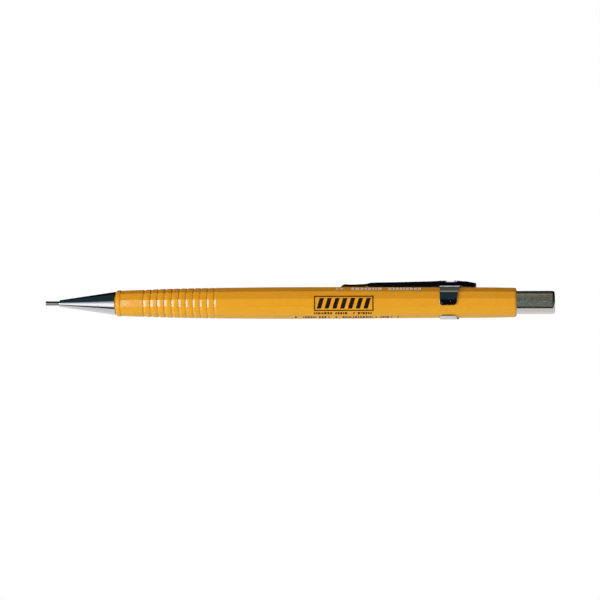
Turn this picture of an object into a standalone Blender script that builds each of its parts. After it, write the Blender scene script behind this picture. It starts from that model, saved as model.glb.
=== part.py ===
"""A mechanical pencil for 0.9 mm leads, lying on a flat of its twelve-sided barrel.

The pencil lies along X with its tip at -X and its push cap at +X. The pocket clip points
to +Y, and Z = 0 is the surface that it lies on. Every piece hangs under one empty on the
pencil's axis, which turns the empty's own Z along the world's X. So in this file a place
along the pencil is a z, counted from its middle towards the cap, and the clip points to
the local +y. All sizes are in millimetres and become metres where a mesh is made.
"""
import bpy
import bmesh
from math import cos, sin, pi, radians, sqrt

MM = 0.001

# ---- Driving sizes along the pencil, in mm -------------------------------------------
LENGTH = 144.22
TIP_END = -LENGTH / 2
CAP_END = LENGTH / 2
BARREL_FRONT = -52.05
BARREL_REAR = 61.35
CONE_FRONT = -68.17
CHUCK_FRONT = -56.2
CAP_FRONT = 57.2
BUTTON_TRAVEL = 3.5

# ---- Barrel --------------------------------------------------------------------------
FACETS = 12
# (place along the pencil, distance from the axis to a flat)
BARREL_FLATS = [(-50.55, 3.58), (-44.3, 3.80), (-38.7, 4.02), (-32.7, 4.17), (-22.5, 4.32),
                (-2.7, 4.465), (12.9, 4.465), (28.5, 4.35), (38.0, 4.30), (51.1, 4.285), (60.7, 4.15)]
FLATS_START = BARREL_FLATS[0][0]
WIDEST_FLAT = 4.465
REAR_EDGE_RADIUS = 0.65
COLLAR_RADIUS = 3.69
GROOVES = 11
GROOVE_FIRST = -43.98
GROOVE_PITCH = 2.0175
GROOVE_WIDTH = 0.8
GROOVE_DEPTH = 0.2
SEAT_RADIUS = 2.70
SEAT_SHOULDER = -44.9
BORE_RADIUS = 2.45
CAP_WELL_RADIUS = 3.40
CAP_WELL_FLOOR = CAP_FRONT - BUTTON_TRAVEL - 0.7

# ---- Tip -----------------------------------------------------------------------------
CONE_REAR_RADIUS = 3.29
CONE_FRONT_RADIUS = 0.935
CONE_RING = -56.95
SPIGOT_RADIUS = 2.62
SPIGOT_REAR = -46.3
CONE_BORE = 2.32
RING_STOP = -56.6
CHUCK_CHAMBER = 1.62
RETAINER_REAR = CHUCK_FRONT - BUTTON_TRAVEL - 0.6
RETAINER_POCKET = 1.35
RETAINER_FRONT = -62.5
PIPE_RADIUS = 0.625
PIPE_BORE = 0.475
PIPE_REAR = -65.0

# ---- Lead feed -----------------------------------------------------------------------
LEAD_RADIUS = 0.45
LEAD_LENGTH = 60.0
LEAD_RECESS = 0.3
CHUCK_NECK = -53.6
CHUCK_REAR = -37.0
CHUCK_HEAD = 1.45
CHUCK_NECK_RADIUS = 1.12
CHUCK_STEM = 1.0
CHUCK_BORE = 0.5
JAWS = 3
SLIT_WIDTH = 0.25
SLIT_REAR = -44.0
RING_FRONT = -55.9
RING_REAR = -53.4
RING_RADIUS = 2.15
SLEEVE_FRONT = -53.2
SLEEVE_RADIUS = 2.25
SLEEVE_BORE = 1.35
SLEEVE_FLANGE = 2.60
SPRING_SEAT = -33.0
SPRING_RADIUS = 1.80
SPRING_WIRE = 0.17
SPRING_TURNS = 9
CONNECTOR_FRONT = -41.0
CONNECTOR_REAR = -27.5
CONNECTOR_TUBE = 1.45
CONNECTOR_FLANGE = 2.25
FLANGE_REAR = -31.6
PLUG_RADIUS = 1.84
RESERVOIR_RADIUS = 2.25
RESERVOIR_BORE = 1.88
RESERVOIR_REAR = 57.9
SPARE_LEADS = 4
SPARE_FRONT = -26.5
SPARE_OFFSET = 1.38
SPARE_STEP = 42.0

# ---- Rear end ------------------------------------------------------------------------
HOLDER_FRONT = 54.0
HOLDER_REAR = 63.0
HOLDER_RADIUS = 2.80
HOLDER_SEAT = 2.42
HOLDER_FLOOR = 58.6
ERASER_RADIUS = 2.35
ERASER_END = 69.8
PIN_RADIUS = 0.3
PIN_FRONT = 42.0
PIN_REAR = 61.0
CAP_RADIUS = 3.26
CAP_BORE = 2.92
CAP_EDGE_RADIUS = 0.73
CAP_ROOF = 0.8

# ---- Pocket clip ---------------------------------------------------------------------
SHEET = 0.38
EAR_GAP = 0.04
EAR_FLAT = 4.30 + EAR_GAP
EAR_END_ANGLE = 159.0
EAR_CORNER_ANGLE = 151.0
BEND = 0.2
# (place, half width of the arm, height of its back over the axis, height of its lower edge)
ARM = [(11.7, 1.65, 5.75, 4.95), (12.05, 2.02, 6.75, 5.2), (12.8, 2.25, 7.30, 5.5),
       (14.2, 2.14, 7.24, 5.6), (18.7, 2.32, 7.27, 5.6), (20.4, 2.64, 7.44, 4.00),
       (28.5, 2.80, 7.44, 3.92), (34.1, 2.96, 7.44, 3.88), (38.3, 3.06, 7.56, 3.84),
       (39.58, 3.14, 7.70, 3.80)]
BAND_WIDTH = 3.20
BAND_HEIGHT = 7.76
EAR_FRONT = 39.66
EAR_REAR = 45.89
EAR_FRONT_SLANT = 0.02
EAR_REAR_SLANT = 0.16
EAR_FRONT_CORNER = 0.55
EAR_REAR_CORNER = 0.85
TAIL = [(46.1, 3.16, 7.68, 3.80), (47.2, 3.04, 7.40, 3.84), (48.9, 2.86, 7.18, 3.88),
        (49.7, 2.80, 6.75, 4.00), (50.0, 2.74, 6.2, 4.20)]

# ---- Where the axis lies -------------------------------------------------------------
AXIS_HEIGHT = EAR_FLAT + SHEET
AXIS_Y = -(BAND_HEIGHT - WIDEST_FLAT) / 2

CLEAR = 0.05


# ---- Scene and materials -------------------------------------------------------------
def empty_scene():
    for thing in list(bpy.data.objects):
        bpy.data.objects.remove(thing, do_unlink=True)


def new_collection(name):
    group = bpy.data.collections.new(name)
    bpy.context.scene.collection.children.link(group)
    return group


def material(name, colour, roughness, metallic=0.0, alpha=1.0):
    """A plain Principled material."""
    made = bpy.data.materials.new(name)
    made.use_nodes = True
    shader = made.node_tree.nodes["Principled BSDF"]
    shader.inputs["Base Color"].default_value = (*colour, 1.0)
    shader.inputs["Roughness"].default_value = roughness
    shader.inputs["Metallic"].default_value = metallic
    shader.inputs["Alpha"].default_value = alpha
    return made


def pencil_axis(group):
    """The empty that every piece hangs under: its z runs along the pencil, towards the cap."""
    axis = bpy.data.objects.new("pencil_axis", None)
    axis.location = (0, AXIS_Y * MM, AXIS_HEIGHT * MM)
    axis.rotation_euler = (0, pi / 2, 0)
    group.objects.link(axis)
    return axis


class Bench:
    """Where pieces are put: the two collections and the axis that they hang under."""

    def __init__(self):
        self.parts = new_collection("mechanical_pencil")
        self.cutters = new_collection("cutters")
        self.axis = pencil_axis(self.parts)

    def piece(self, name, mesh, finish):
        made = bpy.data.objects.new(name, mesh)
        made.parent = self.axis
        self.parts.objects.link(made)
        mesh.materials.append(finish)
        return made

    def cutter(self, name, mesh):
        made = bpy.data.objects.new(name, mesh)
        made.parent = self.axis
        made.hide_render = True
        made.display_type = "WIRE"
        self.cutters.objects.link(made)
        return made


# ---- Shapes --------------------------------------------------------------------------
def wire_mesh(name, points, closed):
    """A mesh of edges only, through points in mm."""
    edges = [(i, i + 1) for i in range(len(points) - 1)]
    if closed:
        edges.append((len(points) - 1, 0))
    mesh = bpy.data.meshes.new(name)
    mesh.from_pydata([(x * MM, y * MM, z * MM) for x, y, z in points], edges, [])
    return mesh


def spin(thing, sides):
    """Turns a profile about the pencil's axis."""
    screw = thing.modifiers.new("turn", "SCREW")
    screw.axis = "Z"
    screw.angle = 2 * pi
    screw.steps = sides
    screw.render_steps = sides
    screw.use_merge_vertices = True
    screw.merge_threshold = 0.000001
    return thing


def profile(name, outline, start_angle=0.0, scale=1.0):
    """A turned shape's outline as edges: (z, radius) points, down its outer side from the rear.

    An outline whose ends are both on the axis stays open; any other closes on itself.
    """
    turn = radians(start_angle)
    points = [(r * scale * cos(turn), r * scale * sin(turn), z) for z, r in outline]
    closed = outline[0][1] > 0
    return wire_mesh(name, points, closed)


def round_corner(before, corner, after, radius, steps=4):
    """Points of an arc that rounds a corner of an outline of (z, radius) points."""
    def toward(a, b):
        dz, dr = b[0] - a[0], b[1] - a[1]
        length = sqrt(dz * dz + dr * dr)
        return dz / length, dr / length

    into, out = toward(corner, before), toward(corner, after)
    # how sharp the corner is sets how far back the arc starts
    cosine = into[0] * out[0] + into[1] * out[1]
    half = sqrt((1 - cosine) / (1 + cosine))
    back = radius / half
    start = (corner[0] + into[0] * back, corner[1] + into[1] * back)
    end = (corner[0] + out[0] * back, corner[1] + out[1] * back)
    middle = ((start[0] + end[0]) / 2, (start[1] + end[1]) / 2)
    reach = radius * sqrt(1 + 1 / half ** 2)
    along = toward(corner, middle)
    centre = (corner[0] + along[0] * reach, corner[1] + along[1] * reach)
    points = []
    for i in range(steps + 1):
        t = i / steps
        z = start[0] + (end[0] - start[0]) * t - centre[0]
        r = start[1] + (end[1] - start[1]) * t - centre[1]
        size = radius / sqrt(z * z + r * r)
        points.append((centre[0] + z * size, centre[1] + r * size))
    return points


def smooth(stations, z):
    """A smooth curve through (z, value) stations, with no bumps between them."""
    for i in range(len(stations) - 1):
        if z <= stations[i + 1][0] or i == len(stations) - 2:
            break
    (z0, v0), (z1, v1) = stations[i], stations[i + 1]

    def slope(k):
        if k in (0, len(stations) - 1):
            j = min(k, len(stations) - 2)
            return (stations[j + 1][1] - stations[j][1]) / (stations[j + 1][0] - stations[j][0])
        left = (stations[k][1] - stations[k - 1][1]) / (stations[k][0] - stations[k - 1][0])
        right = (stations[k + 1][1] - stations[k][1]) / (stations[k + 1][0] - stations[k][0])
        return 0.0 if left * right <= 0 else 2 * left * right / (left + right)

    width = z1 - z0
    t = (z - z0) / width
    return (v0 * (2 * t ** 3 - 3 * t ** 2 + 1) + v1 * (3 * t ** 2 - 2 * t ** 3)
            + slope(i) * width * (t ** 3 - 2 * t ** 2 + t) + slope(i + 1) * width * (t ** 3 - t ** 2))


def turned(bench, name, outline, finish, sides=24):
    """A round piece, shaded smooth."""
    mesh = profile(name, outline)
    made = spin(bench.piece(name, mesh, finish), sides)
    made.modifiers["turn"].use_smooth_shade = True
    return made


def cut(target, cutter, operation="DIFFERENCE"):
    made = target.modifiers.new(cutter.name, "BOOLEAN")
    made.operation = operation
    made.solver = "EXACT"
    made.object = cutter
    return made


# ---- Barrel --------------------------------------------------------------------------
def flat_at(z):
    """Distance from the axis to the barrel's flats, without the grooves."""
    return smooth(BARREL_FLATS, z)


def groove_points(centre):
    """One grip groove, listed from its rear edge to its front edge."""
    floor = flat_at(centre) - GROOVE_DEPTH
    edge, bed = GROOVE_WIDTH / 2, GROOVE_WIDTH * 0.2
    return [(centre + edge, flat_at(centre + edge)), (centre + bed, floor),
            (centre - bed, floor), (centre - edge, flat_at(centre - edge))]


def barrel_outline():
    """The barrel's side, from its rear end to the start of its flats, as distances to a flat."""
    rear = (BARREL_REAR, 4.14)
    outline = [(BARREL_REAR, 0.0)]
    outline += round_corner((BARREL_REAR, 0.0), rear, (0.0, 4.14), REAR_EDGE_RADIUS)
    plain = [57.0, 51.1, 44.0, 36.0, 28.5, 21.0, 12.9, -2.7, -8.5, -14.0, -19.0]
    outline += [(z, flat_at(z)) for z in plain]
    for i in reversed(range(GROOVES)):
        outline += groove_points(GROOVE_FIRST + i * GROOVE_PITCH)
    outline += [(-47.0, flat_at(-47.0)), (FLATS_START, flat_at(FLATS_START)), (FLATS_START, 0.0)]
    return outline


def build_barrel(bench, finish):
    """A twelve-sided bar, with a round collar in front and a stepped bore right through."""
    corner = 180 / FACETS
    mesh = profile("barrel", barrel_outline(), start_angle=corner, scale=1 / cos(radians(corner)))
    barrel = spin(bench.piece("barrel", mesh, finish), FACETS)

    collar_rear = FLATS_START + 0.1
    front = (BARREL_FRONT, COLLAR_RADIUS)
    collar_outline = [(collar_rear, 0.0), (collar_rear, COLLAR_RADIUS)]
    collar_outline += round_corner((collar_rear, COLLAR_RADIUS), front, (BARREL_FRONT, 0.0), 1.0, 6)
    collar_outline += [(BARREL_FRONT, 0.0)]
    collar = spin(bench.cutter("collar_form", profile("collar_form", collar_outline)), 40)
    cut(barrel, collar, "UNION")

    bore_outline = [(BARREL_REAR + 1, 0.0), (BARREL_REAR + 1, CAP_WELL_RADIUS),
                    (CAP_WELL_FLOOR, CAP_WELL_RADIUS), (CAP_WELL_FLOOR - 1, BORE_RADIUS),
                    (SEAT_SHOULDER, BORE_RADIUS), (SEAT_SHOULDER, SEAT_RADIUS),
                    (BARREL_FRONT - 1, SEAT_RADIUS), (BARREL_FRONT - 1, 0.0)]
    bore = spin(bench.cutter("bore_form", profile("bore_form", bore_outline)), 32)
    cut(barrel, bore)
    return barrel


# ---- Tip -----------------------------------------------------------------------------
def cone_radius(z):
    """The cone's outer radius, on its straight taper."""
    share = (z - CONE_FRONT) / (BARREL_FRONT - CLEAR - CONE_FRONT)
    return CONE_FRONT_RADIUS + (CONE_REAR_RADIUS - CONE_FRONT_RADIUS) * share


def build_nose_cone(bench, finish):
    rear_face = BARREL_FRONT - CLEAR
    ring_edge, ring_depth = 0.12, 0.07
    outer = [(SPIGOT_REAR, SPIGOT_RADIUS - 0.12), (SPIGOT_REAR - 0.2, SPIGOT_RADIUS),
             (rear_face, SPIGOT_RADIUS), (rear_face, CONE_REAR_RADIUS),
             (CONE_RING + ring_edge, cone_radius(CONE_RING + ring_edge)),
             (CONE_RING, cone_radius(CONE_RING) - ring_depth),
             (CONE_RING - ring_edge, cone_radius(CONE_RING - ring_edge)),
             (CONE_FRONT + 0.1, cone_radius(CONE_FRONT + 0.1)), (CONE_FRONT, CONE_FRONT_RADIUS - 0.1)]
    pipe_hole = PIPE_RADIUS + 0.02
    lead_hole = 0.56
    inner = [(CONE_FRONT, pipe_hole), (PIPE_REAR + 0.1, pipe_hole), (PIPE_REAR + 0.1, lead_hole),
             (RETAINER_FRONT, lead_hole), (RETAINER_FRONT, RETAINER_POCKET),
             (RETAINER_REAR, RETAINER_POCKET), (RETAINER_REAR, CHUCK_CHAMBER),
             (RING_STOP, CHUCK_CHAMBER), (RING_STOP, CONE_BORE), (SPIGOT_REAR, CONE_BORE)]
    return turned(bench, "nose_cone", outer + inner, finish, 32)


def build_lead_pipe(bench, finish):
    lip = 0.06
    outline = [(PIPE_REAR, PIPE_RADIUS), (TIP_END + lip, PIPE_RADIUS), (TIP_END, PIPE_RADIUS - lip),
               (TIP_END, PIPE_BORE), (PIPE_REAR, PIPE_BORE)]
    return turned(bench, "lead_pipe", outline, finish, 16)


def build_lead_retainer(bench, finish):
    outer = RETAINER_POCKET - CLEAR
    rear, front = RETAINER_REAR - CLEAR, RETAINER_FRONT + CLEAR
    outline = [(rear, outer), (front, outer), (front, PIPE_BORE + 0.25),
               (front + 0.5, PIPE_BORE), (rear - 0.5, PIPE_BORE), (rear, PIPE_BORE + 0.25)]
    return turned(bench, "lead_retainer", outline, finish, 20)


# ---- Lead feed -----------------------------------------------------------------------
def build_chuck(bench, finish):
    """The chuck: a slit tube whose head is a cone, wide at the front."""
    outline = [(CHUCK_REAR, CHUCK_STEM), (CHUCK_NECK + 0.4, CHUCK_STEM), (CHUCK_NECK, CHUCK_NECK_RADIUS),
               (CHUCK_FRONT + 0.2, CHUCK_HEAD), (CHUCK_FRONT, CHUCK_HEAD - 0.25),
               (CHUCK_FRONT, CHUCK_BORE), (CHUCK_REAR, CHUCK_BORE)]
    chuck = turned(bench, "chuck", outline, finish, 24)
    length = SLIT_REAR - CHUCK_FRONT + 1
    for i in range(JAWS):
        slit = bmesh.new()
        bmesh.ops.create_cube(slit, size=1.0)
        bmesh.ops.scale(slit, vec=(2 * MM, SLIT_WIDTH * MM, length * MM), verts=slit.verts)
        mesh = bpy.data.meshes.new(f"slit_form_{i + 1}")
        slit.to_mesh(mesh)
        slit.free()
        form = bench.cutter(mesh.name, mesh)
        turn = 2 * pi * i / JAWS
        reach = 1.0 * MM
        form.location = (reach * cos(turn), reach * sin(turn), (SLIT_REAR - length / 2) * MM)
        form.rotation_euler = (0, 0, turn)
        cut(chuck, form)
    return chuck


def head_radius(z):
    """The chuck head's outer radius on its long taper."""
    share = (CHUCK_NECK - z) / (CHUCK_NECK - CHUCK_FRONT - 0.2)
    return CHUCK_NECK_RADIUS + (CHUCK_HEAD - CHUCK_NECK_RADIUS) * share


def build_clutch_ring(bench, finish):
    outline = [(RING_REAR, RING_RADIUS), (RING_FRONT, RING_RADIUS),
               (RING_FRONT, head_radius(RING_FRONT) + CLEAR),
               (CHUCK_NECK, CHUCK_NECK_RADIUS + CLEAR), (RING_REAR, CHUCK_NECK_RADIUS + CLEAR)]
    return turned(bench, "clutch_ring", outline, finish, 24)


def build_clutch_sleeve(bench, finish):
    flange_front, rear = SPIGOT_REAR + CLEAR, SEAT_SHOULDER - 0.1
    outline = [(rear, SLEEVE_FLANGE), (flange_front, SLEEVE_FLANGE), (flange_front, SLEEVE_RADIUS),
               (SLEEVE_FRONT, SLEEVE_RADIUS), (SLEEVE_FRONT, SLEEVE_BORE), (rear, SLEEVE_BORE)]
    return turned(bench, "clutch_sleeve", outline, finish, 24)


def build_return_spring(bench, finish):
    """A coil between the sleeve and the connector, with a closed turn at each end."""
    start = SEAT_SHOULDER - 0.1 + SPRING_WIRE + CLEAR
    end = SPRING_SEAT - SPRING_WIRE - CLEAR
    steps = 10
    closed_pitch = 2.4 * SPRING_WIRE
    open_pitch = (end - start - 2 * closed_pitch) / (SPRING_TURNS - 2)
    curve = bpy.data.curves.new("return_spring", "CURVE")
    curve.dimensions = "3D"
    curve.bevel_depth = SPRING_WIRE * MM
    curve.bevel_resolution = 2
    curve.use_fill_caps = True
    spline = curve.splines.new("POLY")
    count = SPRING_TURNS * steps + 1
    spline.points.add(count - 1)
    for i in range(count):
        turn = i / steps
        inner_turns = min(max(turn - 1, 0), SPRING_TURNS - 2)
        z = start + closed_pitch * (turn - inner_turns) + open_pitch * inner_turns
        x, y = SPRING_RADIUS * cos(2 * pi * turn), SPRING_RADIUS * sin(2 * pi * turn)
        spline.points[i].co = (x * MM, y * MM, z * MM, 1)
    return bench.piece("return_spring", curve, finish)


def build_chuck_connector(bench, finish):
    socket_floor = CHUCK_REAR + 0.1
    throat = 0.55
    outline = [(CONNECTOR_REAR, PLUG_RADIUS), (FLANGE_REAR, PLUG_RADIUS), (FLANGE_REAR, CONNECTOR_FLANGE),
               (SPRING_SEAT, CONNECTOR_FLANGE), (SPRING_SEAT, CONNECTOR_TUBE),
               (CONNECTOR_FRONT, CONNECTOR_TUBE), (CONNECTOR_FRONT, CHUCK_STEM + 0.02),
               (socket_floor, CHUCK_STEM + 0.02), (socket_floor, throat), (-33.0, throat),
               (CONNECTOR_REAR, PLUG_RADIUS - 0.3)]
    return turned(bench, "chuck_connector", outline, finish, 24)


def build_lead_reservoir(bench, finish):
    front = FLANGE_REAR + 0.1
    outline = [(RESERVOIR_REAR, RESERVOIR_RADIUS), (front, RESERVOIR_RADIUS),
               (front, RESERVOIR_BORE), (RESERVOIR_REAR, RESERVOIR_BORE)]
    return turned(bench, "lead_reservoir", outline, finish, 24)


def lead_outline(front):
    edge = 0.06
    rear = front + LEAD_LENGTH
    return [(rear, 0.0), (rear, LEAD_RADIUS - edge), (rear - edge, LEAD_RADIUS),
            (front + edge, LEAD_RADIUS), (front, LEAD_RADIUS - edge), (front, 0.0)]


def build_leads(bench, finish):
    """The lead in use on the axis, and the spare ones along the bottom of the reservoir."""
    turned(bench, "writing_lead", lead_outline(TIP_END + LEAD_RECESS), finish, 12)
    for i in range(SPARE_LEADS):
        spare = turned(bench, f"spare_lead_{i + 1}", lead_outline(SPARE_FRONT), finish, 12)
        # the local +x points down
        turn = radians((i - (SPARE_LEADS - 1) / 2) * SPARE_STEP)
        spare.location = (SPARE_OFFSET * cos(turn) * MM, SPARE_OFFSET * sin(turn) * MM, 0)


# ---- Rear end ------------------------------------------------------------------------
def build_eraser_holder(bench, finish):
    neck = RESERVOIR_REAR + CLEAR
    outline = [(HOLDER_REAR, HOLDER_RADIUS), (neck, HOLDER_RADIUS), (neck, PLUG_RADIUS),
               (HOLDER_FRONT, PLUG_RADIUS), (HOLDER_FRONT, PLUG_RADIUS - 0.4),
               (HOLDER_FLOOR, PLUG_RADIUS - 0.4), (HOLDER_FLOOR, HOLDER_SEAT), (HOLDER_REAR, HOLDER_SEAT)]
    return turned(bench, "eraser_holder", outline, finish, 24)


def build_eraser(bench, finish):
    front, hole = HOLDER_FLOOR + 0.1, PIN_RADIUS + 0.04
    outline = [(ERASER_END, 0.0)]
    outline += round_corner((ERASER_END, 0.0), (ERASER_END, ERASER_RADIUS), (front, ERASER_RADIUS), 0.5, 3)
    outline += [(front, ERASER_RADIUS), (front, hole), (PIN_REAR + 0.2, hole), (PIN_REAR + 0.2, 0.0)]
    return turned(bench, "eraser", outline, finish, 20)


def build_cleaning_pin(bench, finish):
    outline = [(PIN_REAR, 0.0), (PIN_REAR, PIN_RADIUS), (PIN_FRONT + 0.5, PIN_RADIUS), (PIN_FRONT, 0.0)]
    return turned(bench, "cleaning_pin", outline, finish, 10)


def build_push_cap(bench, finish):
    roof = CAP_END - CAP_ROOF
    outline = round_corner((CAP_END, 0.0), (CAP_END, CAP_RADIUS), (CAP_FRONT, CAP_RADIUS), CAP_EDGE_RADIUS, 5)
    outline = [(CAP_END, 0.0)] + outline
    outline += [(CAP_FRONT + 0.1, CAP_RADIUS), (CAP_FRONT, CAP_RADIUS - 0.1), (CAP_FRONT, CAP_BORE)]
    outline += [(roof - 0.5, CAP_BORE), (roof, CAP_BORE - 0.5), (roof, 0.0)]
    return turned(bench, "push_cap", outline, finish, 40)


# ---- Pocket clip ---------------------------------------------------------------------
def ear_point(angle):
    """A point inside the ear, on the flats that wrap the barrel; angle in degrees from the clip."""
    flat = round(angle / 30) * 30
    radius = EAR_FLAT / cos(radians(angle - flat))
    return radius * sin(radians(angle)), radius * cos(radians(angle))


def arm_section(half_width, height, lower_edge):
    """The inside of the arm, from its middle to its lower edge, as (x, y) points."""
    x, y = half_width - SHEET, height - SHEET
    bend = min(BEND, (y - lower_edge) * 0.6)
    return [(0.0, y), (x - bend, y), (x - bend * 0.3, y - bend * 0.3), (x, y - bend), (x, lower_edge)]


def ear_section():
    """The inside of an ear, from the arm's side to its end, as ((x, y), distance along it)."""
    x = BAND_WIDTH - SHEET
    corner = ear_point(45.0)
    start = ear_point(15.0)
    share = (x - start[0]) / (corner[0] - start[0])
    foot = (x, start[1] + (corner[1] - start[1]) * share)
    points = [foot] + [ear_point(a - 0.001) for a in (45.0, 75.0, 105.0, 135.0)]
    points += [ear_point(EAR_CORNER_ANGLE), ear_point(EAR_END_ANGLE)]
    along, total = [0.0], 0.0
    for a, b in zip(points, points[1:]):
        total += sqrt((b[0] - a[0]) ** 2 + (b[1] - a[1]) ** 2)
        along.append(total)
    return list(zip(points, along))


def clip_half():
    """Half of the clip's inner surface, from its middle plane to one ear, as a bmesh."""
    sheet = bmesh.new()

    def row(z, section):
        return [sheet.verts.new((x * MM, y * MM, z * MM)) for x, y in section]

    def strip(first, second):
        for a, b, c, d in zip(first, first[1:], second[1:], second):
            sheet.faces.new((a, b, c, d))

    ear = ear_section()
    foot = ear[0][0][1]
    band = arm_section(BAND_WIDTH, BAND_HEIGHT, foot)
    inner_front, inner_rear = EAR_FRONT + EAR_FRONT_CORNER, EAR_REAR - EAR_REAR_CORNER
    places = [EAR_FRONT, inner_front, inner_rear, EAR_REAR]
    front_rows = [row(z, arm_section(w, h, low)) for z, w, h, low in ARM]
    band_rows = [row(z, band) for z in places]
    tail_rows = [row(z, arm_section(w, h, low)) for z, w, h, low in TAIL]
    rows = front_rows + band_rows + tail_rows
    for first, second in zip(rows, rows[1:]):
        strip(first, second)

    def ear_places(along):
        return [EAR_FRONT + EAR_FRONT_SLANT * along, inner_front + EAR_FRONT_SLANT * along,
                inner_rear - EAR_REAR_SLANT * along, EAR_REAR - EAR_REAR_SLANT * along]

    above = [r[-1] for r in band_rows]
    for (x, y), along in ear[1:-1]:
        below = [sheet.verts.new((x * MM, y * MM, z * MM)) for z in ear_places(along)]
        strip(above, below)
        above = below
    (x, y), along = ear[-1]
    middle = ear_places(along)[1:3]
    end = [sheet.verts.new((x * MM, y * MM, z * MM)) for z in middle]
    strip(above[1:3], end)
    sheet.faces.new((above[0], above[1], end[0]))
    sheet.faces.new((above[2], above[3], end[1]))
    bmesh.ops.recalc_face_normals(sheet, faces=sheet.faces)
    return sheet


def build_pocket_clip(bench, finish):
    sheet = clip_half()
    # the back of the arm has to look away from the barrel, so that the sheet thickens outwards
    back = max(sheet.faces, key=lambda f: f.calc_center_median().y)
    if back.normal.y < 0:
        bmesh.ops.reverse_faces(sheet, faces=sheet.faces)
    mesh = bpy.data.meshes.new("pocket_clip")
    sheet.to_mesh(mesh)
    sheet.free()
    clip = bench.piece("pocket_clip", mesh, finish)
    mirror = clip.modifiers.new("other_side", "MIRROR")
    mirror.use_axis = (True, False, False)
    mirror.merge_threshold = 0.000001
    thick = clip.modifiers.new("sheet_thickness", "SOLIDIFY")
    thick.thickness = SHEET * MM
    thick.offset = 1.0
    thick.use_even_offset = True
    return clip


# ---- Assembly ------------------------------------------------------------------------
def build():
    empty_scene()
    bench = Bench()
    golden = material("golden_plastic", (0.75, 0.34, 0.02), 0.3)
    chrome = material("chrome", (0.75, 0.76, 0.77), 0.08, 1.0)
    steel = material("satin_steel", (0.5, 0.49, 0.45), 0.35, 1.0)
    dark_chrome = material("clip_chrome", (0.55, 0.57, 0.58), 0.07, 1.0)
    brass = material("brass", (0.75, 0.53, 0.22), 0.25, 1.0)
    spring_steel = material("spring_steel", (0.55, 0.55, 0.56), 0.25, 1.0)
    rubber = material("black_rubber", (0.03, 0.03, 0.03), 0.7)
    white_plastic = material("white_plastic", (0.8, 0.8, 0.78), 0.4)
    clear_plastic = material("smoky_plastic", (0.6, 0.62, 0.62), 0.2, 0.0, 0.5)
    white_rubber = material("eraser_rubber", (0.85, 0.84, 0.8), 0.8)
    graphite = material("graphite", (0.04, 0.04, 0.045), 0.45, 0.3)
    build_barrel(bench, golden)
    build_nose_cone(bench, chrome)
    build_lead_pipe(bench, steel.copy())
    build_lead_retainer(bench, rubber)
    build_chuck(bench, brass)
    build_clutch_ring(bench, brass.copy())
    build_clutch_sleeve(bench, brass.copy())
    build_return_spring(bench, spring_steel)
    build_chuck_connector(bench, white_plastic)
    build_lead_reservoir(bench, clear_plastic)
    build_leads(bench, graphite)
    build_eraser_holder(bench, steel.copy())
    build_eraser(bench, white_rubber)
    build_cleaning_pin(bench, spring_steel.copy())
    build_push_cap(bench, steel)
    build_pocket_clip(bench, dark_chrome)


build()
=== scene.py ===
"""The looks of a mechanical pencil for 0.9 mm leads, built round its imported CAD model.

Every piece is made in the pencil's own frame, in millimetres: z runs along the pencil
towards the cap, y is the way the pocket clip points, and x points down, to the floor.
AXIS turns that frame into the row frame. The pieces' ends and outer radii come from the
CAD nodes' boxes, and the named values below give the shapes between them.
"""
import random
from math import asin, atan2, ceil, cos, hypot, pi, radians, sin, sqrt, tan

import bmesh
import bpy
from mathutils import Matrix, Quaternion, Vector


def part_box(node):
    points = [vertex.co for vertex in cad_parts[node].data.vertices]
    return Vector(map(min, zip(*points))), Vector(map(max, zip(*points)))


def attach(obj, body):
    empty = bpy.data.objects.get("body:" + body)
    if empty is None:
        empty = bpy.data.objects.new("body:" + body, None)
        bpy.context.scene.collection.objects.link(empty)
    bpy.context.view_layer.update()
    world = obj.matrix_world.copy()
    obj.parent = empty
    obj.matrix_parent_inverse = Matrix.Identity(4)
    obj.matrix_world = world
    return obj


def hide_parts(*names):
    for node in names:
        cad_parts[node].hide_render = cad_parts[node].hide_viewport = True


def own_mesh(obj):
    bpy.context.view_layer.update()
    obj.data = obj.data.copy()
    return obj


MM = 0.001
TINY = 1e-9

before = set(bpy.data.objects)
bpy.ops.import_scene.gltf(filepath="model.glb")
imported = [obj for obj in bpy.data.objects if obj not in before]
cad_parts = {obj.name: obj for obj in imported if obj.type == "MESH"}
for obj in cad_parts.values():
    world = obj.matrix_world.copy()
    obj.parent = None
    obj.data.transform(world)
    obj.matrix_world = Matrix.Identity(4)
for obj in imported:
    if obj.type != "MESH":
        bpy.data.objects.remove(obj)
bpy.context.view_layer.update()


# ---- Places and sizes, from the CAD nodes --------------------------------------------
def extent(node):
    """Where a node starts and stops along the pencil, and half its height, which is its radius
    if it is round; all in mm."""
    low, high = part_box(node)
    return low.x / MM, high.x / MM, (high.z - low.z) / 2 / MM


cone_low, cone_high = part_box("nose_cone")
AXIS_Y = (cone_low.y + cone_high.y) / 2
AXIS_Z = (cone_low.z + cone_high.z) / 2
AXIS = Matrix.Translation((0, AXIS_Y, AXIS_Z)) @ Matrix.Rotation(pi / 2, 4, "Y")

BARREL_FRONT, BARREL_REAR = extent("barrel")[:2]
CONE_FRONT, SPIGOT_REAR, CONE_RADIUS = extent("nose_cone")
TIP_END, PIPE_REAR, PIPE_RADIUS = extent("lead_pipe")
CAP_FRONT, CAP_END, CAP_RADIUS = extent("push_cap")
CLIP_FRONT, CLIP_REAR, EAR_OUTSIDE = extent("pocket_clip")
CLIP_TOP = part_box("pocket_clip")[1].y / MM - AXIS_Y / MM

# ---- Barrel --------------------------------------------------------------------------
FACETS = 12
FACET_TURN = 2 * pi / FACETS
CORNER_RADIUS = 0.5
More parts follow.
